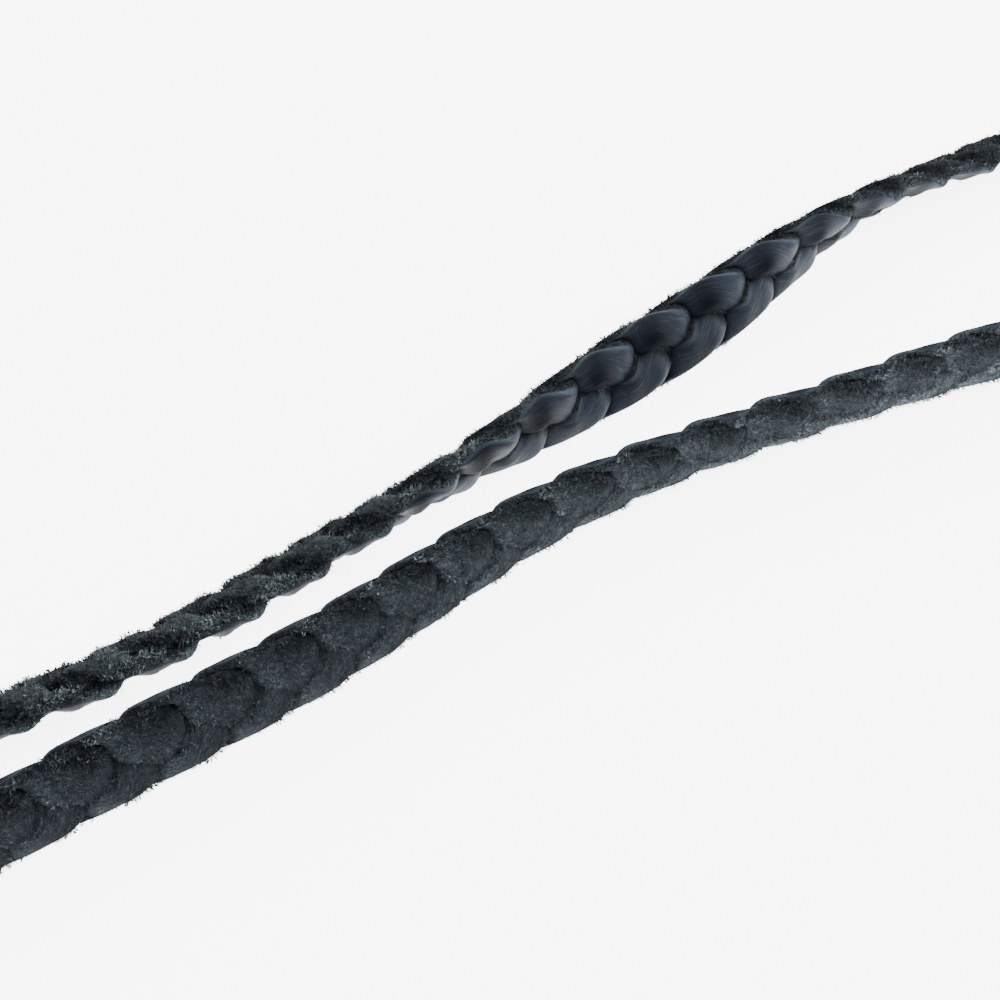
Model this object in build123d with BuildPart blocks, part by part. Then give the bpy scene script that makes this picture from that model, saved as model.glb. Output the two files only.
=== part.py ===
"""Leather cord necklace: a flat braid of three leather laces, closed into a loop by a plain clasp.

Millimetres, +Z up. The necklace lies on a surface at Z = 0, with its long way along X.
"""

import os
from math import ceil, cos, pi, radians, sin

from build123d import *

# Laces and their plait
LACE_WIDTH = 2.0
LACE_THICKNESS = 0.75
LACE_GAP = 0.05
BUMP_PITCH = 4.3
RINGS_PER_PERIOD = 12
LACE_NAMES = ("lace_left", "lace_middle", "lace_right")

# Clasp: a flat box with a pocket for the braid at each end
CLASP_LENGTH = 15.0
CLASP_WALL = 0.8
CLASP_CORNER = 0.9
CLASP_EDGE = 0.25
POCKET_DEPTH = 4.5
POCKET_CLEARANCE = 0.2

# Chosen points that the braid's middle line follows as the necklace lies, from the clasp's middle all the
# way round. x and y are in millimetres. Roll turns the grain face from straight up towards the inside of
# the loop, in degrees. Lift is a share of the height at which the clasp holds the braid. Pitch is a share
# of BUMP_PITCH, because the plait is tighter in some places than in others.
ROUTE_COLUMNS = ("x", "y", "roll", "lift", "pitch")
ROUTE = [
    (62, -19.5, 180, 1, 1.121),
    (74, -19.5, 180, 1, 1.121),
    (86, -18.5, 174, 0.35, 1.121),
    (99, -11.5, 166, 0, 1.121),
    (105, 1.5, 160, 0, 1.121),
    (100, 14.5, 160, 0, 1.121),
    (87, 21.5, 162, 0, 1.121),
    (71, 21.5, 164, 0, 1.121),
    (55, 17, 165, 0, 1.121),
    (40, 12.4, 166, 0, 1.121),
    (27, 9.8, 162, 0, 1.08),
    (16, 11.0, 146, 0, 1.12),
    (6, 9.7, 106, 0, 1.22),
    (-4, 7.3, 49, 0, 1.17),
    (-13, 6, 63, 0, 1.04),
    (-22, 4.8, 117, 0, 0.95),
    (-32, 4.1, 143, 0, 0.82),
    (-42, 2.6, 138, 0, 0.76),
    (-53, 4.5, 137, 0, 0.74),
    (-66, 10, 136, 0, 0.8),
    (-80, 16.5, 133, 0, 1.006),
    (-95, 17, 128, 0, 1.074),
    (-106, 4.5, 119, 0, 1.096),
    (-100, -10.5, 109, 0, 1.061),
    (-85, -14.5, 97, 0, 0.984),
    (-70, -7.1, 88, 0, 0.79),
    (-57, -2, 84, 0, 0.74),
    (-44, -1.3, 97, 0, 0.72),
    (-34, -1.6, 101, 0, 0.69),
    (-24, 0.1, 89, 0, 0.77),
    (-14, -0.5, 69, 0, 0.92),
    (-4, -2.5, 72, 0, 0.96),
    (6, -4.1, 84, 0, 0.96),
    (18, -7.7, 104, 0, 1.0),
    (29, -12.5, 128, 0, 1.121),
    (38, -18, 158, 0.35, 1.121),
    (50, -19.5, 180, 1, 1.121),
]
STEPS_PER_POINT = 60

# One lace's path and section over a period of the plait, each as a sum of waves: sines or cosines, their
# mean, and the amplitudes of the waves that come once, twice and so on in a period. Swing, reach and lean
# lie along the braid's width and are shares of LACE_WIDTH. Rise, lift and crown lie along its thickness
# and are shares of the stack of one lace and its gap. Depth is a share of LACE_THICKNESS.
# Columns: name, kind, mean, once, twice, three times, four times, five times.
WAVES = {
    "swing": (sin, 0, 0.648, 0, 0.033, 0, 0),
    "reach": (cos, 0.466, 0, 0.126, 0, 0.067, 0),
    "lean": (cos, 0, -0.171, 0, 0.123, 0, 0),
    "rise": (sin, 0, 0, 0.671, 0, -0.06, 0),
    "lift": (cos, 0, -0.019, 0, 0.631, 0, -0.061),
    "crown": (sin, 0, 0, 0.6, 0, 0.024, 0),
    "depth": (cos, 0.373, 0, 0.244, 0, 0.223, 0),
}

# Corners of a lace's six-sided section, as shares across its reach and through its depth
# Columns: across, through.
SECTION = [(1, 0), (0.5, 1), (-0.5, 1), (-1, 0), (-0.5, -1), (0.5, -1)]
# Square of the share across at which the crown leaves a lace's height as it is: it lifts the middle and
# drops the edges
CROWN_LEVEL = 0.33

# How square the braid's section is where it rests rolled over: 2 for an ellipse, 1 for a full rectangle
REST_POWER = 1.3


def wave(name, phase):
    """The sum of one row of WAVES at a phase, in radians."""
    kind, *sizes = WAVES[name]
    return sum(size * kind(times * phase) for times, size in enumerate(sizes))


def lace_section(phase):
    """Corners of a lace's section, each as its place across the braid and its place through it."""
    stack = LACE_THICKNESS + LACE_GAP
    corners = []
    for across, through in SECTION:
        lateral = wave("swing", phase) + across * wave("reach", phase) - through * wave("lean", phase)
        bend = (across**2 - CROWN_LEVEL) * wave("crown", phase)
        normal = wave("rise", phase) + across * wave("lift", phase) - bend
        half_depth = LACE_THICKNESS * through * wave("depth", phase)
        corners.append((LACE_WIDTH * lateral, stack * normal + half_depth))
    return corners


def plait_size():
    """Width and thickness of the braid, from the widest corners of its sections."""
    phases = [2 * pi * ring / RINGS_PER_PERIOD for ring in range(RINGS_PER_PERIOD)]
    corners = [corner for phase in phases for corner in lace_section(phase)]
    return 2 * max(lateral for lateral, _ in corners), 2 * max(normal for _, normal in corners)


BRAID_WIDTH, BRAID_THICKNESS = plait_size()
POCKET_WIDTH = BRAID_WIDTH + 2 * POCKET_CLEARANCE
POCKET_HEIGHT = BRAID_THICKNESS + 2 * POCKET_CLEARANCE
CLASP_WIDTH = POCKET_WIDTH + 2 * CLASP_WALL
CLASP_HEIGHT = POCKET_HEIGHT + 2 * CLASP_WALL
SEAT_LIFT = (CLASP_HEIGHT - BRAID_THICKNESS) / 2


def route_values(span, part):
    """The route's columns at a part from 0 to 1 of one span, as a smooth curve through its chosen points."""
    shares = (
        (1 - part) ** 3 / 6,
        (3 * part**3 - 6 * part**2 + 4) / 6,
        (-3 * part**3 + 3 * part**2 + 3 * part + 1) / 6,
        part**3 / 6,
    )
    rows = [ROUTE[(span + step) % len(ROUTE)] for step in (-1, 0, 1, 2)]
    columns = range(len(ROUTE_COLUMNS))
    return [sum(share * row[column] for share, row in zip(shares, rows)) for column in columns]


def rest_height(roll):
    """Height of the braid's middle where it rests on the surface at a roll, in radians."""
    across = abs(BRAID_WIDTH / 2 * sin(roll)) ** REST_POWER
    through = abs(BRAID_THICKNESS / 2 * cos(roll)) ** REST_POWER
    return (across + through) ** (1 / REST_POWER)


def route_samples():
    """Close samples of the route: place, roll in radians, length so far and phase of the plait so far."""
    samples = []
    length = phase = 0.0
    for span in range(len(ROUTE)):
        for step in range(STEPS_PER_POINT):
            x, y, roll, lift, pitch = route_values(span, step / STEPS_PER_POINT)
            place = Vector(x, y, rest_height(radians(roll)) + lift * SEAT_LIFT)
            if samples:
                run = (place - samples[-1][0]).length
                length += run
                phase += 2 * pi * run / (len(LACE_NAMES) * BUMP_PITCH * pitch)
            samples.append((place, radians(roll), length, phase))
    return samples


def route_rings():
    """The braid's rings at even steps of phase: place, sideways direction, normal direction and phase."""
    samples = route_samples()
    closing_run = (samples[0][0] - samples[-1][0]).length
    end_inset = CLASP_LENGTH / 2 - POCKET_DEPTH
    total_length = samples[-1][2] + closing_run
    used = [sample for sample in samples if end_inset <= sample[2] <= total_length - end_inset]
    first_phase, last_phase = used[0][3], used[-1][3]
    count = ceil((last_phase - first_phase) * RINGS_PER_PERIOD / (2 * pi))
    rings = []
    index = 0
    for ring in range(count + 1):
        wanted = first_phase + (last_phase - first_phase) * ring / count
        while index < len(used) - 2 and used[index + 1][3] < wanted:
            index += 1
        (start, roll_start, _, low), (end, roll_end, _, high) = used[index], used[index + 1]
        part = (wanted - low) / (high - low)
        place = start + (end - start) * part
        roll = roll_start + (roll_end - roll_start) * part
        along = (end - start).normalized()
        inside = Vector(-along.Y, along.X, 0).normalized()
        normal = along.cross(inside) * cos(roll) + inside * sin(roll)
        rings.append((place, normal.cross(along), normal, 2 * pi * ring / RINGS_PER_PERIOD))
    return rings


def lace_rings(rings, offset):
    """The corners of one lace's sections along the braid, for its offset in the plait."""
    corners = []
    for place, sideways, normal, phase in rings:
        section = lace_section(phase + offset)
        corners.append([place + sideways * lateral + normal * height for lateral, height in section])
    return corners


def panel_triangles(near, near_beside, far_beside, far, middle):
    """Two triangles for one panel, split along the diagonal that lies closer to the lace's middle."""
    if ((near + far_beside) / 2 - middle).length < ((near_beside + far) / 2 - middle).length:
        return [(near, near_beside, far_beside), (near, far_beside, far)]
    return [(near, near_beside, far), (near_beside, far_beside, far)]


def faceted_solid(rings):
    """A closed solid of flat triangles from ring to ring, with a flat face at each end."""
    faces = [Face(Wire.make_polygon(ring)) for ring in (rings[0], rings[-1])]
    for ring, following in zip(rings, rings[1:]):
        middle = sum(ring + following, Vector()) / (2 * len(ring))
        for corner in range(len(ring)):
            beside = (corner + 1) % len(ring)
            panel = panel_triangles(ring[corner], ring[beside], following[beside], following[corner], middle)
            faces += [Face(Wire.make_polygon(triangle)) for triangle in panel]
    return Solid(Shell(faces))


os.makedirs("parts", exist_ok=True)
braid_rings = route_rings()

for order, lace_name in enumerate(LACE_NAMES):
    offset = 2 * pi * order / len(LACE_NAMES)
    with BuildPart() as lace:
        add(faceted_solid(lace_rings(braid_rings, offset)))
    lace.part.label = lace_name
    export_step(lace.part, f"parts/{lace_name}.step")
    print(lace_name, "faces", len(lace.part.faces()), "volume", round(lace.part.volume, 1))

clasp_x, clasp_y = route_values(0, 0)[:2]
clasp_end = Plane(
    origin=(clasp_x - CLASP_LENGTH / 2, clasp_y, CLASP_HEIGHT / 2), x_dir=(0, 1, 0), z_dir=(1, 0, 0)
)
far_end = clasp_end.offset(CLASP_LENGTH)

with BuildPart() as clasp:
    with BuildSketch(clasp_end):
        RectangleRounded(CLASP_WIDTH, CLASP_HEIGHT, CLASP_CORNER)
    extrude(amount=CLASP_LENGTH)
    ends = clasp.edges().group_by(Axis.X)
    fillet(ends[0] + ends[-1], radius=CLASP_EDGE)
    with BuildSketch(clasp_end):
        Rectangle(POCKET_WIDTH, POCKET_HEIGHT)
    extrude(amount=POCKET_DEPTH, mode=Mode.SUBTRACT)
    with BuildSketch(far_end):
        Rectangle(POCKET_WIDTH, POCKET_HEIGHT)
    extrude(amount=-POCKET_DEPTH, mode=Mode.SUBTRACT)
clasp.part.label = "clasp"
export_step(clasp.part, "parts/clasp.step")

braid_length = sum((b[0] - a[0]).length for a, b in zip(braid_rings, braid_rings[1:]))
print("braid", round(BRAID_WIDTH, 2), "x", round(BRAID_THICKNESS, 2), "length", round(braid_length, 1))
print("rings", len(braid_rings), "periods", round((len(braid_rings) - 1) / RINGS_PER_PERIOD, 1))
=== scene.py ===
"""Looks of the leather cord necklace: three laces with a smooth and a suede side, their nap, and the clasp.

Metres in the row's frame, +Z up. The laces repeat the route and the plait of the solids, in millimetres.
"""

import math

import bpy
import numpy as np
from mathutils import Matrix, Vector
from mathutils.bvhtree import BVHTree


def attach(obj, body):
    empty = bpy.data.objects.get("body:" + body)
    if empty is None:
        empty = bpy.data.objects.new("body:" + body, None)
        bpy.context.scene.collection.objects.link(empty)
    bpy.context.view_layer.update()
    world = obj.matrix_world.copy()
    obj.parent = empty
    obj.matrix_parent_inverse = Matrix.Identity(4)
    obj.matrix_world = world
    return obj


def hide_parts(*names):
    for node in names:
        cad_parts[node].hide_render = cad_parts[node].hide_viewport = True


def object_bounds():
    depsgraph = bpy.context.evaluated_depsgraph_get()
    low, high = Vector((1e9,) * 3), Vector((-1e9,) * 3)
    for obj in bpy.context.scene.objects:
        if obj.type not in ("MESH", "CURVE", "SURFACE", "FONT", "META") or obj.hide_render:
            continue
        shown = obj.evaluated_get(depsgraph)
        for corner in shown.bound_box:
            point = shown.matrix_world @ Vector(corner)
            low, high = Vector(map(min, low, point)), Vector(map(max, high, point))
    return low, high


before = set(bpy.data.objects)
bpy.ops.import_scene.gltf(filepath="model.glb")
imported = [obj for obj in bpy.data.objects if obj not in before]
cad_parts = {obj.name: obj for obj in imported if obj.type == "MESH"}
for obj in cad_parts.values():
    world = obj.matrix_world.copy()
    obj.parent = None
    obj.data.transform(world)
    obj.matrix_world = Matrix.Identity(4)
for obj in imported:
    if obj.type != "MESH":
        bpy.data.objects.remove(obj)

bounds_at_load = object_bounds()

MM = 0.001
LACE_NAMES = ("lace_left", "lace_middle", "lace_right")

# Laces, plait and clasp, as in the solids
LACE_WIDTH = 2.0
LACE_THICKNESS = 0.75
LACE_GAP = 0.05
BUMP_PITCH = 4.3
RINGS_PER_PERIOD = 12
CLASP_LENGTH = 15.0
CLASP_WALL = 0.8
POCKET_DEPTH = 4.5
POCKET_CLEARANCE = 0.2
BRAID_WIDTH = 4.088
BRAID_THICKNESS = 1.823
CROWN_LEVEL = 0.33
REST_POWER = 1.3
STEPS_PER_POINT = 60

# Chosen points of the braid's middle line, from the clasp's middle all the way round.
# Columns: x, y, roll in degrees, share of lift, share of pitch.
ROUTE = [
    (62, -19.5, 180, 1, 1.121),
    (74, -19.5, 180, 1, 1.121),
    (86, -18.5, 174, 0.35, 1.121),
    (99, -11.5, 166, 0, 1.121),
    (105, 1.5, 160, 0, 1.121),
    (100, 14.5, 160, 0, 1.121),
    (87, 21.5, 162, 0, 1.121),
    (71, 21.5, 164, 0, 1.121),
    (55, 17, 165, 0, 1.121),
    (40, 12.4, 166, 0, 1.121),
    (27, 9.8, 162, 0, 1.08),
    (16, 11.0, 146, 0, 1.12),
    (6, 9.7, 106, 0, 1.22),
    (-4, 7.3, 49, 0, 1.17),
    (-13, 6, 63, 0, 1.04),
    (-22, 4.8, 117, 0, 0.95),
    (-32, 4.1, 143, 0, 0.82),
    (-42, 2.6, 138, 0, 0.76),
    (-53, 4.5, 137, 0, 0.74),
    (-66, 10, 136, 0, 0.8),
    (-80, 16.5, 133, 0, 1.006),
    (-95, 17, 128, 0, 1.074),
    (-106, 4.5, 119, 0, 1.096),
    (-100, -10.5, 109, 0, 1.061),
    (-85, -14.5, 97, 0, 0.984),
    (-70, -7.1, 88, 0, 0.79),
    (-57, -2, 84, 0, 0.74),
    (-44, -1.3, 97, 0, 0.72),
    (-34, -1.6, 101, 0, 0.69),
    (-24, 0.1, 89, 0, 0.77),
    (-14, -0.5, 69, 0, 0.92),
    (-4, -2.5, 72, 0, 0.96),
    (6, -4.1, 84, 0, 0.96),
    (18, -7.7, 104, 0, 1.0),
    (29, -12.5, 128, 0, 1.121),
    (38, -18, 158, 0.35, 1.121),
    (50, -19.5, 180, 1, 1.121),
]
# Waves of a lace's path and section over a period of the plait.
# Columns: name, kind, mean, once, twice, three times, four times, five times.
WAVES = {
    "swing": (np.sin, 0, 0.648, 0, 0.033, 0, 0),
    "reach": (np.cos, 0.466, 0, 0.126, 0, 0.067, 0),
    "lean": (np.cos, 0, -0.171, 0, 0.123, 0, 0),
    "rise": (np.sin, 0, 0, 0.671, 0, -0.06, 0),
    "lift": (np.cos, 0, -0.019, 0, 0.631, 0, -0.061),
    "crown": (np.sin, 0, 0, 0.6, 0, 0.024, 0),
    "depth": (np.cos, 0.373, 0, 0.244, 0, 0.223, 0),
}
# Fineness of the shown laces, and how square their section is across and through
RING_STEP = 0.25
POINTS_AROUND = 32
ACROSS_POWER = 4.5
THROUGH_POWER = 2.8

# The solids keep a gap between the laces. The shown laces are padded all round and lie flatter, and then
# the braid is pressed together again. Filling is the power by which a place's share of the way out to the
# braid's outline is raised there: less than 1 presses the laces out towards it and evens their relief.
PADDING = 0.2
CROWN_SHARE = 0.5
LIFT_SHARE = 0.82
GRAIN_FILLING = 1.15
SUEDE_FILLING = 0.34
EDGE_FILLING = 0.32
OUTLINE_POWER = 2.6
# Unevenness of the shown laces: how much of it, and how far apart it changes along the braid
FULLNESS_CHANGE = 0.05
FULLNESS_SPACING = 6.0
RAGGED_EDGE = 0.035
RAGGED_SPACING = 0.7
UNEVEN_DEPTH = 0.02
UNEVEN_SPACING = 1.6
UNEVEN_SIDES = 4
SUEDE_LUMPS = 0.045
LUMP_WIDTH = 2
# How sharply the raggedness keeps to the edges, and the pleats to where a lace turns
EDGE_POWER = 6
TURNING_POWER = 6
# Through the lace, from 1 on the grain side to -1: where the suede starts, and the span to where it is full
SUEDE_START = 0.4
SUEDE_SPAN = 0.5
# How far apart the laces' own coordinates are, so that no two laces show the same pattern
LACE_SHIFT = 300

# Painted light and shade over half a period: the phase that is lightest, and how much once and twice over
# it
GRAIN_PAINTED_SHADING = (math.radians(10), 0.28, 0.38)
SUEDE_PAINTED_SHADING = (math.radians(80), 0.37, 0.14)
# Painted shadow in the gap beside a grain leaf's end: how much darker the leaf is towards one edge, and the
# phase where it is most so
EDGE_PAINTED_SHADOW = 0.72
EDGE_SHADOW_PHASE = math.radians(56)
# Painted shade in the crease at a suede leaf's end: its phase, and how much it darkens
CREASE_PHASE = math.radians(170)
CREASE_SHADE = 0.5
# How much more painted light one row of the suede's leaves gets than the other.
# Columns: length from the braid's first end, how much more.
ROW_PAINTED_LIGHT = [
    (0, 0.0),
    (362, 0.0),
    (388, 0.42),
    (416, 0.42),
    (430, 0.0),
    (460, 0.0),
]
# The phase where a row gets the most painted light, and the share of that light that both rows have
ROW_PHASE = math.radians(120)
ROW_LEVEL = 0.5
# How far the suede's nap is raised along the braid, from worn smooth at 0 to fluffy at 1 and more. Raised
# nap is lighter, and the values also serve as painted light, higher where more light falls.
# Columns: length from the braid's first end, how raised.
NAP_RAISED_AND_LIT = [
    (0, 0.5),
    (120, 0.5),
    (150, 0.35),
    (165, 0.1),
    (180, 0.15),
    (188, 1.1),
    (205, 1.5),
    (240, 0.6),
    (320, 0.3),
    (345, 0.05),
    (365, 0.35),
    (385, 0.8),
    (400, 1.5),
    (430, 0.7),
    (460, 0.5),
]
# How far the rounding of the grain side is scuffed to nap.
# Columns: length from the braid's first end, how scuffed.
GRAIN_SCUFFED = [
    (0, 0.0),
    (138, 0.0),
    (144, 1.0),
    (155, 1.0),
    (161, 0.0),
    (188, 0.0),
    (194, 1.0),
    (214, 1.0),
    (230, 0.0),
    (460, 0.0),
]
# How far full scuffing moves the line between grain and suede, as a share of half the lace's thickness
SCUFF_REACH = 0.5

# Nap: fibres on the suede side, the cut edges and the scuffed grain of each lace
FIBRES_PER_LACE = 95000
TRIES_PER_FIBRE = 6
FIBRE_LENGTH = 0.115
LONGEST_FIBRE = 0.32
FIBRE_WIDTH = 0.022
ROOT_DEPTH = 0.01
LENGTH_SPREAD = 0.45
WHISKER_SHARE = 0.015
WHISKER_STRETCH = 1.8
# How much longer the fibres on a cut edge are, and their length on nap worn smooth and what raising adds
EDGE_STRETCH = 1.1
SMOOTH_LENGTH = 0.75
RAISED_LENGTH = 0.4
# A fibre rises for the first share of its length, and leans over for the second
RISING_SHARE = 0.55
BENT_SHARE = 0.5
KNEE_WIDTH = 0.8
# How far a fibre leans with its tuft, by itself, and once more past its knee
TUFT_LEAN = 0.7
OWN_LEAN = 0.45
KNEE_LEAN = 0.5
# Where nap starts and cut edges lie, through the lace and across it, and the spans to where they are full
NAP_START = 0.3
NAP_SPAN = 0.3
CUT_START = 0.85
CUT_SPAN = 0.1
CUT_TOP = 0.2
CUT_FADE = 0.4
# The nap is full within a reach of one place along X, and thins out past it to a least share
FULL_NAP_MIDDLE = -15.0
FULL_NAP_REACH = 50.0
NAP_FADE = 85.0
LEAST_NAP = 0.4
# The fibres of a tuft lean and shade alike, and patches and clumps are where the nap is denser. Three whole
# numbers turn a cell of space into one of the kinds of tuft or patch.
TUFT_SIZE = 0.22
TUFT_KINDS = 1024
NAP_PATCH = 0.9
CLUMP_SPACING = 0.35
HASH = np.array([73, 179, 283])
# The shift that gives the two halves of a lace's width clumps of their own
HALF_SHIFT = 400
# No fibre grows where a lace lies closer than this
COVER_REACH = 0.35

# Painted shade in the hollows: how far a covering lace darkens the leather, and the directions that are
# looked in
HOLLOW_REACH = 1.1
HOLLOW_RAYS = 8
RAY_SPREAD = 0.95
RAY_START = 0.03

# Start of the random draws
SEED = 7

# Colours, as linear red, green and blue
GRAIN_DARK = (0.0032, 0.0042, 0.0068, 1)
GRAIN_LIGHT = (0.0084, 0.0108, 0.0160, 1)
GRAIN_STREAK = (0.0235, 0.0290, 0.0410, 1)
GRAIN_WORN_EDGE = (0.042, 0.051, 0.067, 1)
SUEDE_DARK = (0.0030, 0.0041, 0.0068, 1)
SUEDE_LIGHT = (0.0190, 0.0238, 0.0285, 1)
SUEDE_FLUFF = (0.044, 0.055, 0.060, 1)
SUEDE_WOOL = (0.112, 0.137, 0.142, 1)
SUEDE_SMOOTH = (0.0028, 0.0038, 0.0062, 1)
# Painted shade in the hollows
HOLLOW_PAINTED_SHADE = (0.0015, 0.0020, 0.0030, 1)
GLOSS_TINT = (0.70, 0.84, 1.0, 1)
SHEEN_TINT = (0.62, 0.74, 0.80, 1)
FIBRE_DARK = (0.0060, 0.0082, 0.0122, 1)
FIBRE_LIGHT = (0.032, 0.041, 0.050, 1)
FIBRE_PALE = (0.150, 0.182, 0.188, 1)
STEEL_DARK = (0.36, 0.36, 0.38, 1)
STEEL_LIGHT = (0.46, 0.46, 0.47, 1)
PAPER_DARK = (0.93, 0.935, 0.94, 1)
PAPER_LIGHT = (0.95, 0.955, 0.96, 1)
PAPER_GLOW = (1.0, 1.0, 1.0, 1)
SKY = (0.90, 0.96, 1.0, 1)

# Studio: the floor lies just under the necklace and glows, as a lit white surface does
FLOOR_SIZE = 3.0
FLOOR_DROP = 0.02
FLOOR_STRENGTH = 6.0
SKY_STRENGTH = 0.3
# Columns: name, place, size and power of each lamp, in metres and watts. All of them aim at one place.
LAMPS = [
    ("key_lamp", (0.68, -0.30, 0.55), 0.5, 19.0),
    ("back_lamp", (0.25, 0.65, 0.50), 0.5, 11.0),
    ("front_lamp", (0.05, -0.80, 0.13), 0.4, 5.0),
]
LAMP_AIM = (-0.02, 0.0, 0.0)

# Camera at the photo's angle: 45 degrees down, close to the braid
CAMERA_PLACE = Vector((-46.72, -31.81, 43.1)) * MM
CAMERA_AIM = Vector((-22.0, 3.5, 0.0)) * MM
CAMERA_LENS = 43.92
SENSOR_WIDTH = 36.0
NEAREST_SEEN = 1 * MM
FARTHEST_SEEN = 10.0


def wave(name, phase):
    """The sum of one row of WAVES at an array of phases."""
    kind, *sizes = WAVES[name]
    return sum(size * kind(times * phase) for times, size in enumerate(sizes))


def unit(vectors):
    """Vectors scaled to a length of one."""
    return vectors / np.linalg.norm(vectors, axis=-1, keepdims=True)


def route_rings():
    """Even rings along the braid: length so far, place, sideways and normal directions, and phase."""
    rows = np.array(ROUTE, float)
    part = np.arange(STEPS_PER_POINT) / STEPS_PER_POINT
    shares = np.stack(
        [
            (1 - part) ** 3,
            3 * part**3 - 6 * part**2 + 4,
            -3 * part**3 + 3 * part**2 + 3 * part + 1,
            part**3,
        ],
        1,
    )
    spans = [np.roll(rows, 1 - span, axis=0)[:4] for span in range(len(rows))]
    x, y, roll, lift, pitch = np.concatenate([shares @ span / 6 for span in spans]).T
    roll = np.radians(roll)
    clasp_height = BRAID_THICKNESS + 2 * POCKET_CLEARANCE + 2 * CLASP_WALL
    across = np.abs(BRAID_WIDTH / 2 * np.sin(roll)) ** REST_POWER
    through = np.abs(BRAID_THICKNESS / 2 * np.cos(roll)) ** REST_POWER
    z = (across + through) ** (1 / REST_POWER) + lift * (clasp_height - BRAID_THICKNESS) / 2
    place = np.stack([x, y, z], 1)
    run = np.linalg.norm(np.diff(place, axis=0), axis=1)
    length = np.concatenate([[0], np.cumsum(run)])
    phase = np.concatenate([[0], np.cumsum(2 * np.pi * run / (3 * BUMP_PITCH * pitch[1:]))])
    inset = CLASP_LENGTH / 2 - POCKET_DEPTH
    total = length[-1] + np.linalg.norm(place[0] - place[-1])
    used = (length >= inset) & (length <= total - inset)
    length, place, roll, phase = length[used], place[used], roll[used], phase[used]
    steps = np.ceil((phase[-1] - phase[0]) * RINGS_PER_PERIOD / (2 * np.pi))
    phase = (phase - phase[0]) * steps * 2 * np.pi / RINGS_PER_PERIOD / (phase[-1] - phase[0])
    even = np.linspace(length[0], length[-1], round((length[-1] - length[0]) / RING_STEP) + 1)
    place = np.stack([np.interp(even, length, place[:, axis]) for axis in range(3)], 1)
    roll = np.interp(even, length, roll)[:, None]
    along = unit(np.gradient(place, axis=0))
    inside = unit(np.stack([-along[:, 1], along[:, 0], np.zeros(len(along))], 1))
    normal = np.cross(along, inside) * np.cos(roll) + inside * np.sin(roll)
    return even, place, np.cross(normal, along), normal, np.interp(even, length, phase)


def smooth_noise(rng, values, spacing):
    """Smooth random values from -1 to 1 along an array of lengths, one knot at each spacing."""
    knots = rng.uniform(-1, 1, int(values.max() / spacing) + 3)
    place = values / spacing
    index = place.astype(int)
    part = place - index
    part = part * part * (3 - 2 * part)
    return knots[index] * (1 - part) + knots[index + 1] * part


def grid_noise(rng, shape, width):
    """Smooth random values from -1 to 1 over rings and the points around them."""
    values = rng.normal(size=shape)
    for _ in range(width):
        values = values + np.roll(values, 1, 0) + np.roll(values, 1, 1)
        values = values / values.std()
    return np.clip(values / 2, -1, 1)


def space_noise(places, size, knots):
    """Smooth values through space, with one knot at each step of a size."""
    cell = np.floor(places / size).astype(int)
    part = places / size - cell
    part = part * part * (3 - 2 * part)
    total = np.zeros(places.shape[:-1])
    for corner in np.ndindex(2, 2, 2):
        weight = np.prod(np.where(corner, part, 1 - part), axis=-1)
        total += weight * knots[((cell + corner) @ HASH) % len(knots)]
    return total


def pressed(lateral, height):
    """Places in the braid's section, pressed into its outline by the filling of each side."""
    across = lateral / (BRAID_WIDTH / 2 + PADDING)
    through = height / (BRAID_THICKNESS / 2 + PADDING)
    reach = (np.abs(across) ** OUTLINE_POWER + np.abs(through) ** OUTLINE_POWER) ** (1 / OUTLINE_POWER)
    facing = through / np.maximum(np.hypot(across, through), 1e-6)
    face_filling = np.where(facing > 0, GRAIN_FILLING, SUEDE_FILLING)
    power = EDGE_FILLING + (face_filling - EDGE_FILLING) * facing**2
    scale = np.maximum(reach, 1e-6) ** (power - 1)
    return across * scale * BRAID_WIDTH / 2, through * scale * BRAID_THICKNESS / 2


def along_braid(table, length):
    """The value of a table along the braid at each ring, as a column."""
    return np.interp(length - length[0], *np.array(table, float).T)[:, None]


def painted_tone(theta, lightest, once, twice):
    """How light the painted light and shade leave a lace at a phase of the plait, around 1."""
    away = 2 * (theta - lightest)
    return 1 + once * np.cos(away) + twice * np.cos(2 * away)


def lace_painted_shading(theta, across, suede, length):
    """How light the painted light and shade leave the leather all over a lace, around 1."""
    # Painted shade in the crease at each suede leaf's end
    crease_shade = np.clip(-across * np.cos(theta), 0, 1) * np.clip(np.cos(2 * (theta - CREASE_PHASE)), 0, 1) ** 2
    # Painted light on one row of the suede's leaves, which is lighter than the other
    row_painted_light = along_braid(ROW_PAINTED_LIGHT, length) * (ROW_LEVEL + np.cos(theta - ROW_PHASE))
    suede_painted_shading = painted_tone(theta, *SUEDE_PAINTED_SHADING) * (1 - CREASE_SHADE * crease_shade) * (1 + row_painted_light)
    # Painted shadow beside each grain leaf's end
    aslant = across * np.clip(np.cos(2 * (theta - EDGE_SHADOW_PHASE)), 0, 1)
    grain_painted_shading = painted_tone(theta, *GRAIN_PAINTED_SHADING) * (1 - EDGE_PAINTED_SHADOW * aslant)
    return suede_painted_shading * suede + grain_painted_shading * (1 - suede)


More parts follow.
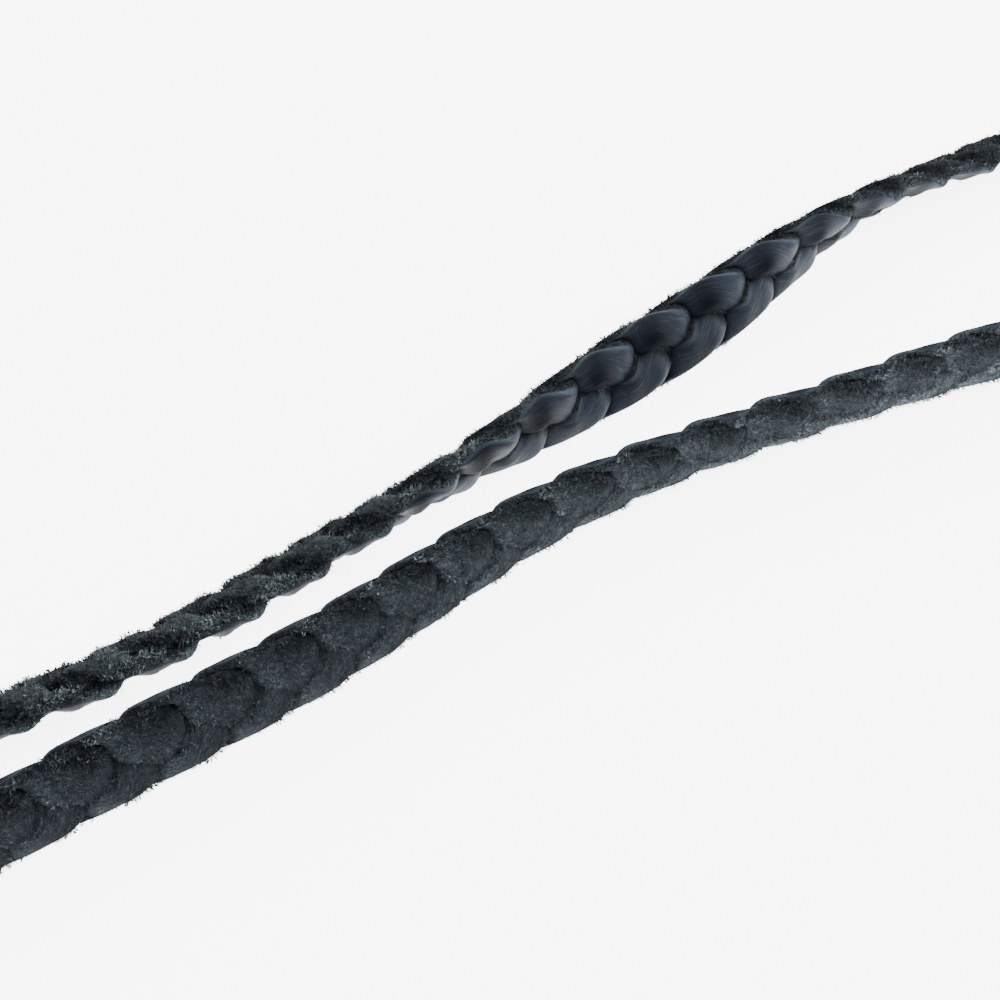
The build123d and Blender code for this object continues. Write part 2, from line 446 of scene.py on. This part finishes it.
def lace_surface(rings, offset, rng):
    """One lace's points, ring by ring, and what its leather and nap follow there.

    Own holds the lace's own coordinates, along, across and through it, in millimetres.
    """
    length, place, sideways, normal, phase = rings
    turn = np.linspace(0, 2 * np.pi, POINTS_AROUND, endpoint=False)
    across = np.sign(np.cos(turn)) * np.abs(np.cos(turn)) ** (2 / ACROSS_POWER)
    through = np.sign(np.sin(turn)) * np.abs(np.sin(turn)) ** (2 / THROUGH_POWER)
    theta = (phase + offset)[:, None]
    edge = np.abs(across) ** EDGE_POWER
    suede = np.clip((SUEDE_START - through) / SUEDE_SPAN, 0, 1)

    fullness = 1 + FULLNESS_CHANGE * smooth_noise(rng, length, FULLNESS_SPACING)[:, None]
    ragged = np.stack([smooth_noise(rng, length, RAGGED_SPACING) for _ in turn], 1)
    shape = ragged.shape
    sides = np.arange(POINTS_AROUND) * UNEVEN_SIDES // POINTS_AROUND
    uneven = np.stack([smooth_noise(rng, length, UNEVEN_SPACING) for _ in range(UNEVEN_SIDES)], 1)[:, sides]
    lumps = SUEDE_LUMPS * suede * grid_noise(rng, shape, LUMP_WIDTH)

    reach = across * wave("reach", theta) * (1 + RAGGED_EDGE * ragged * edge)
    lateral = LACE_WIDTH * (wave("swing", theta) + reach - through * wave("lean", theta)) + PADDING * across
    bend = (across**2 - CROWN_LEVEL) * wave("crown", theta) * CROWN_SHARE
    tilt = across * wave("lift", theta) * LIFT_SHARE
    depth = LACE_THICKNESS * wave("depth", theta) * fullness + PADDING + UNEVEN_DEPTH * uneven + lumps
    stack = LACE_THICKNESS + LACE_GAP
    lateral, height = pressed(lateral, stack * (wave("rise", theta) + tilt - bend) + depth * through)
    points = place[:, None] + sideways[:, None] * lateral[..., None] + normal[:, None] * height[..., None]
    points[..., 2] = np.maximum(points[..., 2], 0)
    own = [
        np.broadcast_to(length[:, None] + LACE_SHIFT * offset, shape),
        np.broadcast_to(across * LACE_WIDTH / 2, shape),
        np.broadcast_to(through * LACE_THICKNESS / 2, shape),
    ]
    return {
        "points": points,
        "own": np.stack(own, 2),
        "turning": np.broadcast_to(np.sin(theta) ** TURNING_POWER, shape),
        "raised_and_lit": np.broadcast_to(along_braid(NAP_RAISED_AND_LIT, length), shape),
        "painted_shading": lace_painted_shading(theta, across, suede, length),
        "scuffed": np.broadcast_to(along_braid(GRAIN_SCUFFED, length), shape),
    }


def mesh_object(name, points, quads, triangles, values, smooth):
    """A mesh object in metres from arrays, with float or vector values at its points."""
    mesh = bpy.data.meshes.new(name)
    corners = np.concatenate([quads.ravel(), triangles.ravel()])
    sizes = np.concatenate([np.full(len(quads), 4), np.full(len(triangles), 3)])
    starts = np.concatenate([[0], np.cumsum(sizes)[:-1]])
    mesh.vertices.add(len(points))
    mesh.vertices.foreach_set("co", (points * MM).astype(np.float32).ravel())
    mesh.loops.add(len(corners))
    mesh.loops.foreach_set("vertex_index", corners.astype(np.int32))
    mesh.polygons.add(len(sizes))
    mesh.polygons.foreach_set("loop_start", starts.astype(np.int32))
    mesh.polygons.foreach_set("use_smooth", np.full(len(sizes), smooth))
    for key, data in values.items():
        kind, field = ("FLOAT", "value") if data.ndim == 1 else ("FLOAT_VECTOR", "vector")
        mesh.attributes.new(key, kind, "POINT").data.foreach_set(field, data.astype(np.float32).ravel())
    mesh.update(calc_edges=True)
    mesh.validate()
    result = bpy.data.objects.new(name, mesh)
    bpy.context.scene.collection.objects.link(result)
    return result


def side_quads(count):
    """The panels between a number of rings, each as four point numbers."""
    near = np.arange(count - 1)[:, None] * POINTS_AROUND
    far = near + POINTS_AROUND
    here = np.arange(POINTS_AROUND)[None, :]
    beside = (here + 1) % POINTS_AROUND
    return np.stack([near + here, near + beside, far + beside, far + here], 2).reshape(-1, 4)


def cover_tree(surfaces):
    """All the laces in one tree, to find what covers a place."""
    points = np.concatenate([surface["points"].reshape(-1, 3) for surface in surfaces])
    count = len(surfaces[0]["points"])
    quads = [side_quads(count) + order * count * POINTS_AROUND for order in range(len(surfaces))]
    return BVHTree.FromPolygons(points.tolist(), np.concatenate(quads).tolist())


def outward_directions(points):
    """Directions that point out of a lace's surface, at its grid of points."""
    outward = unit(np.cross(np.gradient(points, axis=0), np.roll(points, -1, 1) - np.roll(points, 1, 1)))
    if ((points - points.mean(1, keepdims=True)) * outward).sum() < 0:
        outward = -outward
    return outward


def open_shares(points, tree, rng):
    """Share of directions, at each point, in which no lace lies close by: low in the hollows, where shade
    is painted.
    """
    outward = outward_directions(points)
    free = np.zeros(points.shape[:2])
    for _ in range(HOLLOW_RAYS):
        aims = unit(outward + RAY_SPREAD * unit(rng.normal(size=points.shape)))
        starts = points + outward * RAY_START
        hits = [
            tree.ray_cast(Vector(start), Vector(aim), HOLLOW_REACH)[0] is None
            for start, aim in zip(starts.reshape(-1, 3), aims.reshape(-1, 3))
        ]
        free += np.array(hits, float).reshape(free.shape)
    share = free / HOLLOW_RAYS
    for axis in (0, 1):
        share = (np.roll(share, 1, axis) + 2 * share + np.roll(share, -1, axis)) / 4
    return share


def lace_object(name, surface, share):
    """The shown mesh of one lace, closed at both ends."""
    count = len(surface["points"])
    fan = np.arange(1, POINTS_AROUND - 1)
    last = (count - 1) * POINTS_AROUND
    first_cap = np.stack([0 * fan, fan + 1, fan], 1)
    last_cap = np.stack([last + 0 * fan, last + fan, last + fan + 1], 1)
    values = {"own": surface["own"].reshape(-1, 3), "openness": share.reshape(-1)}
    for key in ("turning", "raised_and_lit", "painted_shading", "scuffed"):
        values[key] = surface[key].reshape(-1)
    caps = np.concatenate([first_cap, last_cap])
    return mesh_object(name, surface["points"].reshape(-1, 3), side_quads(count), caps, values, True)


def fibre_roots(surface, share, tree, rng):
    """Where the nap of one lace grows, and what it is like there.

    It grows on the suede side, the cut edges and the scuffed grain, where no lace covers them.
    """
    outward = outward_directions(surface["points"])
    tries = FIBRES_PER_LACE * TRIES_PER_FIBRE
    ring = rng.integers(0, len(outward) - 1, tries)
    side = rng.integers(0, POINTS_AROUND, tries)
    part = rng.random((2, tries, 1))
    beside = (side + 1) % POINTS_AROUND

    def spread(grid):
        near = grid[ring, side] * (1 - part[0]) + grid[ring + 1, side] * part[0]
        far = grid[ring, beside] * (1 - part[0]) + grid[ring + 1, beside] * part[0]
        return near * (1 - part[1]) + far * part[1]

    roots = {key: spread(surface[key][..., None])[:, 0] for key in ("raised_and_lit", "painted_shading", "scuffed")}
    roots["openness"] = spread(share[..., None])[:, 0]
    roots["place"] = spread(surface["points"])
    roots["outward"] = unit(spread(outward))
    own = spread(surface["own"])
    across = np.abs(own[:, 1]) / (LACE_WIDTH / 2)
    through = own[:, 2] / (LACE_THICKNESS / 2)
    suede = np.clip((NAP_START + SCUFF_REACH * roots["scuffed"] - through) / NAP_SPAN, 0, 1)
    below_grain = np.clip((CUT_TOP - through) / CUT_FADE, 0, 1)
    roots["cut"] = np.clip((across - CUT_START) / CUT_SPAN, 0, 1) * below_grain
    clumps = 0.5 + 0.5 * smooth_noise(rng, own[:, 0] + HALF_SHIFT * (own[:, 1] > 0), CLUMP_SPACING)
    roots["patch"] = space_noise(roots["place"], NAP_PATCH, rng.random(TUFT_KINDS))
    density = np.clip((roots["patch"] - 0.2) / 0.4, 0.3, 1)
    away = np.abs(roots["place"][:, 0] - FULL_NAP_MIDDLE) - FULL_NAP_REACH
    density = density * np.clip(1 - away / NAP_FADE, LEAST_NAP, 1)
    grown = np.maximum(suede * (0.5 + 0.5 * clumps), roots["cut"] * (0.2 + 0.8 * roots["raised_and_lit"]))
    chosen = []
    for item in np.flatnonzero(rng.random(tries) < density * grown):
        aim = roots["outward"][item]
        start = roots["place"][item] + aim * ROOT_DEPTH
        if tree.ray_cast(Vector(start), Vector(aim), COVER_REACH)[0] is None:
            chosen.append(item)
            if len(chosen) == FIBRES_PER_LACE:
                break
    return {key: values[np.array(chosen)] for key, values in roots.items()}


def fibre_object(name, roots, rng):
    """The nap of one lace: a thin bent fibre from each root."""
    total = len(roots["place"])
    edge = roots["cut"][:, None]
    near = roots["place"] + rng.normal(size=(total, 3)) * TUFT_SIZE / 5
    tuft = (np.floor(near / TUFT_SIZE).astype(int) @ HASH) % TUFT_KINDS
    tuft_lean = unit(rng.normal(size=(TUFT_KINDS, 3)))[tuft]
    tuft_shade = rng.random(TUFT_KINDS)[tuft]
    wander = unit(rng.normal(size=(total, 3)))
    rise = roots["outward"] * rng.uniform(0.3, 1.0, (total, 1))
    lean = unit(rise + TUFT_LEAN * tuft_lean + OWN_LEAN * wander)
    length = FIBRE_LENGTH * rng.lognormal(0, LENGTH_SPREAD, (total, 1)) * (1 + EDGE_STRETCH * edge)
    length = length * (SMOOTH_LENGTH + RAISED_LENGTH * roots["raised_and_lit"][:, None])
    whisker = rng.random((total, 1)) < WHISKER_SHARE * (0.3 + edge)
    length = np.minimum(np.where(whisker, length * WHISKER_STRETCH, length), LONGEST_FIBRE)
    bent = unit(lean + KNEE_LEAN * rng.normal(size=(total, 3)))
    aside = unit(np.cross(lean, rng.normal(size=(total, 3))))
    flat = aside * FIBRE_WIDTH / 2 * rng.uniform(0.6, 1.2, (total, 1))

    start = roots["place"] - roots["outward"] * ROOT_DEPTH
    knee = start + lean * length * RISING_SHARE
    tip = knee + bent * length * BENT_SHARE
    points = np.stack([start - flat, start + flat, knee + flat * KNEE_WIDTH, tip], 1).reshape(-1, 3)
    points[:, 2] = np.maximum(points[:, 2], 0)
    base = np.arange(total)[:, None] * 4
    triangles = np.concatenate([base + np.array([[0, 1, 2]]), base + np.array([[0, 2, 3]])])
    quads = np.zeros((0, 4), int)

    shade = 0.3 * tuft_shade + 0.4 * rng.random(total) + 0.4 * np.clip((roots["patch"] - 0.3) / 0.4, 0, 1)
    # Raised nap makes fibres lighter, partly as painted light
    shade = shade + 0.25 * (roots["raised_and_lit"] - 0.5)
    # Painted shade: fibres in the hollows are darker, and they take on the lace's painted light and shade
    shade = shade * np.clip(0.1 + roots["openness"], 0, 1) ** 1.2 * roots["painted_shading"] ** 0.7
    return mesh_object(name, points, quads, triangles, {"shade": np.repeat(shade, 4)}, False)


class Graph:
    """A material's nodes, made by name and joined in one line each."""

    def __init__(self, name):
        self.material = bpy.data.materials.new(name)
        self.material.use_nodes = True
        self.nodes = self.material.node_tree.nodes
        self.links = self.material.node_tree.links
        self.surface = self.nodes["Principled BSDF"].inputs

    def add(self, kind, inputs=None, **settings):
        """A new node of a kind, with its settings and then its inputs."""
        node = self.nodes.new("ShaderNode" + kind)
        for key, value in settings.items():
            setattr(node, key, value)
        for key, value in (inputs or {}).items():
            self.put(node.inputs[key], value)
        return node

    def put(self, socket, value):
        """Links a socket's source to another socket, or sets it to a constant."""
        if isinstance(value, bpy.types.NodeSocket):
            self.links.new(value, socket)
        else:
            socket.default_value = value

    def value(self, name):
        """One of the values at the mesh's points."""
        return self.add("Attribute", attribute_name=name).outputs["Fac"]

    def maths(self, operation, first, second=0.0, third=0.0):
        """The result of one operation on up to three numbers."""
        node = self.add("Math", operation=operation)
        for socket, value in zip(node.inputs, (first, second, third)):
            self.put(socket, value)
        return node.outputs[0]

    def ramp(self, value, low, high, start=0.0, end=1.0):
        """A number that goes from start to end while a value goes from low to high."""
        node = self.add("MapRange", {"From Min": low, "From Max": high, "To Min": start, "To Max": end})
        self.put(node.inputs["Value"], value)
        return node.outputs[0]

    def between(self, share, first, second):
        """A number that goes from a first to a second one."""
        node = self.add("Mix", {"Factor": share, "A": first, "B": second}, data_type="FLOAT")
        return node.outputs["Result"]

    def blend(self, share, first, second):
        """A colour that goes from a first to a second one."""
        node = self.add("Mix", {"Factor": share, "A": first, "B": second}, data_type="RGBA")
        return node.outputs["Result"]

    def stretched(self, vector, along, across, through):
        """Coordinates multiplied along each of their axes."""
        node = self.add("VectorMath", {0: vector, 1: (along, across, through)}, operation="MULTIPLY")
        return node.outputs[0]

    def scaled(self, colour, scale):
        """A colour made lighter or darker."""
        return self.add("VectorMath", {0: colour, "Scale": scale}, operation="SCALE").outputs[0]

    def noise(self, vector, scale, detail=3.0, roughness=0.55, distortion=0.0):
        """Smooth random values from 0 to 1 over coordinates."""
        node = self.add("TexNoise", {"Vector": vector, "Scale": scale, "Detail": detail})
        self.put(node.inputs["Roughness"], roughness)
        self.put(node.inputs["Distortion"], distortion)
        return node.outputs["Fac"]

    def strands(self, vector, scale, width):
        """Thin curling lines, from 0 between them to 1 along them."""
        offset = self.maths("SUBTRACT", self.noise(vector, scale, 1.5, 0.5, 0.8), 0.5)
        return self.ramp(self.maths("ABSOLUTE", offset), 0.0, width, 1.0, 0.0)

    def bump(self, height, distance):
        """The shading direction of a surface with fine relief."""
        return self.add("Bump", {"Height": height, "Distance": distance, "Strength": 1.0}).outputs["Normal"]


def grain(g, own, across):
    """The smooth side of the leather: its colour, roughness and height."""
    streaks = g.noise(g.stretched(own, 0.8, 8.0, 8.0), 1.0, 4.0, 0.62, 0.4)
    hairlines = g.noise(g.stretched(own, 1.3, 26.0, 26.0), 1.0, 3.0, 0.6, 0.6)
    pleats = g.noise(g.stretched(own, 4.5, 0.8, 0.8), 1.0, 3.0, 0.6, 0.8)
    pores = g.add("TexVoronoi", {"Vector": own, "Scale": 7.5}, feature="SMOOTH_F1").outputs["Distance"]
    patches = g.noise(own, 0.9, 3.0, 0.6)
    near_edge = g.ramp(g.maths("ABSOLUTE", across), 0.82 * LACE_WIDTH / 2, 0.99 * LACE_WIDTH / 2)

    colour = g.blend(patches, GRAIN_DARK, GRAIN_LIGHT)
    colour = g.blend(g.ramp(streaks, 0.52, 0.75, 0.0, 0.75), colour, GRAIN_STREAK)
    worn = g.maths("MULTIPLY", near_edge, g.ramp(hairlines, 0.35, 0.65, 0.15, 0.8))
    colour = g.blend(worn, colour, GRAIN_WORN_EDGE)
    rough = g.ramp(g.maths("ADD", streaks, hairlines), 0.7, 1.3, 0.44, 0.64)

    pleat_height = g.maths("MULTIPLY", pleats, g.ramp(g.value("turning"), 0.1, 0.8, 0.15, 1.0))
    height = g.maths("MULTIPLY_ADD", pleat_height, 0.8, streaks)
    height = g.maths("MULTIPLY_ADD", pores, 0.12, height)
    height = g.maths("MULTIPLY_ADD", hairlines, 0.5, height)
    return colour, rough, height


def suede(g, own, raised_and_lit):
    """The fibrous side of the leather and its cut edges: its colour and height."""
    fluff = g.noise(own, 8.0, 5.0, 0.7, 1.2)
    tufts = g.noise(own, 2.6, 4.0, 0.65, 0.8)
    curls = g.maths("MAXIMUM", g.strands(own, 4.5, 0.045), g.strands(own, 7.5, 0.055))
    curls = g.maths("MAXIMUM", curls, g.strands(own, 12.0, 0.07))
    wool = g.maths("MULTIPLY", curls, g.ramp(fluff, 0.42, 0.62))
    wool = g.maths("MULTIPLY", wool, g.ramp(tufts, 0.36, 0.60, 0.25, 1.0))

    colour = g.blend(g.ramp(tufts, 0.38, 0.64), SUEDE_DARK, SUEDE_LIGHT)
    colour = g.blend(g.ramp(fluff, 0.50, 0.70, 0.0, 0.7), colour, SUEDE_FLUFF)
    colour = g.blend(wool, colour, SUEDE_WOOL)
    # Worn smooth nap is darker; along the braid this also serves as painted light and shade
    colour = g.blend(g.ramp(raised_and_lit, 0.0, 1.0, 0.62, 0.0), colour, SUEDE_SMOOTH)
    height = g.maths("MULTIPLY_ADD", fluff, 0.8, g.maths("MULTIPLY_ADD", curls, 0.35, tufts))
    return colour, height


def leather():
    """Black leather: smooth grain on one side, fibrous suede on the other and on the cut edges."""
    g = Graph("lace_leather")
    own = g.add("Attribute", attribute_name="own").outputs["Vector"]
    parts = g.add("SeparateXYZ", {"Vector": own}).outputs
    level = g.maths("DIVIDE", parts["Z"], LACE_THICKNESS / 2)
    level = g.maths("MULTIPLY_ADD", g.noise(own, 3.0, 2.0), 0.12, level)
    level = g.maths("MULTIPLY_ADD", g.value("scuffed"), -SCUFF_REACH, level)
    grain_side = g.ramp(level, 0.32, 0.5)
    raised_and_lit = g.value("raised_and_lit")
    painted_shading = g.value("painted_shading")
    openness = g.value("openness")
    lit = g.between(grain_side, g.ramp(openness, 0.25, 0.92), g.ramp(openness, 0.5, 1.0))

    grain_colour, grain_rough, grain_height = grain(g, own, parts["Y"])
    suede_colour, suede_height = suede(g, own, raised_and_lit)
    # Painted light and shade along the plait scale the leather's colour
    colour = g.scaled(g.blend(grain_side, suede_colour, grain_colour), painted_shading)
    rough = g.between(grain_side, 0.95, grain_rough)
    bump_depth = g.ramp(grain_side, 0.0, 1.0, 0.14 * MM, 0.035 * MM)
    sheen = g.ramp(grain_side, 0.0, 0.6, 0.034, 0.0)
    sheen = g.maths("MULTIPLY", sheen, g.ramp(raised_and_lit, 0.0, 0.7, 0.55, 1.0))

    # Painted shade: the leather's colour darkens in the hollows, where other laces lie close
    g.put(g.surface["Base Color"], g.blend(lit, HOLLOW_PAINTED_SHADE, colour))
    g.put(g.surface["Roughness"], g.maths("MAXIMUM", rough, g.ramp(lit, 0.0, 1.0, 0.9, 0.3)))
    g.put(g.surface["Normal"], g.bump(g.between(grain_side, suede_height, grain_height), bump_depth))
    # Where painted shade darkens the leather, its gloss is dulled too
    g.put(g.surface["Specular IOR Level"], g.ramp(painted_shading, 0.3, 1.5, 0.01, 0.07))
    g.put(g.surface["Specular Tint"], GLOSS_TINT)
    g.put(g.surface["Sheen Weight"], sheen)
    g.put(g.surface["Sheen Tint"], SHEEN_TINT)
    return g.material


def nap():
    """Loose leather fibres, from near black to pale grey."""
    g = Graph("lace_fibres")
    shade = g.value("shade")
    colour = g.blend(g.ramp(shade, 0.2, 0.7), FIBRE_DARK, FIBRE_LIGHT)
    g.put(g.surface["Base Color"], g.blend(g.ramp(shade, 0.74, 1.05), colour, FIBRE_PALE))
    g.put(g.surface["Roughness"], 0.8)
    g.put(g.surface["Specular IOR Level"], 0.25)
    return g.material


def brushed_steel():
    """Satin steel with fine marks along the clasp."""
    g = Graph("clasp_steel")
    place = g.add("TexCoord").outputs["Object"]
    marks = g.noise(g.stretched(place, 350.0, 9000.0, 9000.0), 1.0, 4.0, 0.6)
    clouds = g.noise(place, 400.0, 3.0)
    g.put(g.surface["Base Color"], g.blend(clouds, STEEL_DARK, STEEL_LIGHT))
    g.put(g.surface["Metallic"], 1.0)
    g.put(g.surface["Roughness"], g.ramp(marks, 0.3, 0.7, 0.26, 0.42))
    g.put(g.surface["Normal"], g.bump(marks, 0.012 * MM))
    return g.material


def floor_paper():
    """White paper that is lit evenly."""
    g = Graph("floor_paper")
    clouds = g.noise(g.add("TexCoord").outputs["Object"], 300.0, 2.0)
    g.put(g.surface["Base Color"], g.blend(clouds, PAPER_DARK, PAPER_LIGHT))
    g.put(g.surface["Roughness"], 0.9)
    g.put(g.surface["Specular IOR Level"], 0.1)
    g.put(g.surface["Emission Color"], PAPER_GLOW)
    g.put(g.surface["Emission Strength"], FLOOR_STRENGTH)
    return g.material


def aimed(item, place, aim):
    """Puts a lamp or camera at a place, turned towards its aim, and in the scene."""
    item.location = place
    item.rotation_euler = (Vector(aim) - Vector(place)).to_track_quat("-Z", "Y").to_euler()
    bpy.context.scene.collection.objects.link(item)


rng = np.random.default_rng(SEED)
rings = route_rings()
offsets = [2 * np.pi * order / len(LACE_NAMES) for order in range(len(LACE_NAMES))]
surfaces = [lace_surface(rings, offset, rng) for offset in offsets]
cover = cover_tree(surfaces)
leather_material = leather()
nap_material = nap()

for lace_name, surface in zip(LACE_NAMES, surfaces):
    share = open_shares(surface["points"], cover, rng)
    lace = lace_object("leather_" + lace_name, surface, share)
    lace.data.materials.append(leather_material)
    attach(lace, "root")
    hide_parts(lace_name)
    fibres = fibre_object("fibres_" + lace_name, fibre_roots(surface, share, cover, rng), rng)
    fibres.data.materials.append(nap_material)
    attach(fibres, "root")

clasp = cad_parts["clasp"]
clasp.data.materials.clear()
clasp.data.materials.append(brushed_steel())

# Floor
bpy.ops.mesh.primitive_plane_add(size=FLOOR_SIZE, location=(0, 0, bounds_at_load[0].z - FLOOR_DROP * MM))
floor = bpy.context.object
floor.name = "floor"
floor.data.materials.append(floor_paper())

# Soft studio light
world = bpy.data.worlds.new("studio")
world.use_nodes = True
world.node_tree.nodes["Background"].inputs["Color"].default_value = SKY
world.node_tree.nodes["Background"].inputs["Strength"].default_value = SKY_STRENGTH
bpy.context.scene.world = world
for name, place, size, power in LAMPS:
    lamp = bpy.data.lights.new(name, "AREA")
    lamp.size = size
    lamp.energy = power
    aimed(bpy.data.objects.new(name, lamp), place, LAMP_AIM)

# Camera
camera_data = bpy.data.cameras.new("camera")
camera_data.lens = CAMERA_LENS
camera_data.sensor_width = SENSOR_WIDTH
camera_data.clip_start = NEAREST_SEEN
camera_data.clip_end = FARTHEST_SEEN
camera = bpy.data.objects.new("camera", camera_data)
aimed(camera, CAMERA_PLACE, CAMERA_AIM)
bpy.context.scene.camera = camera
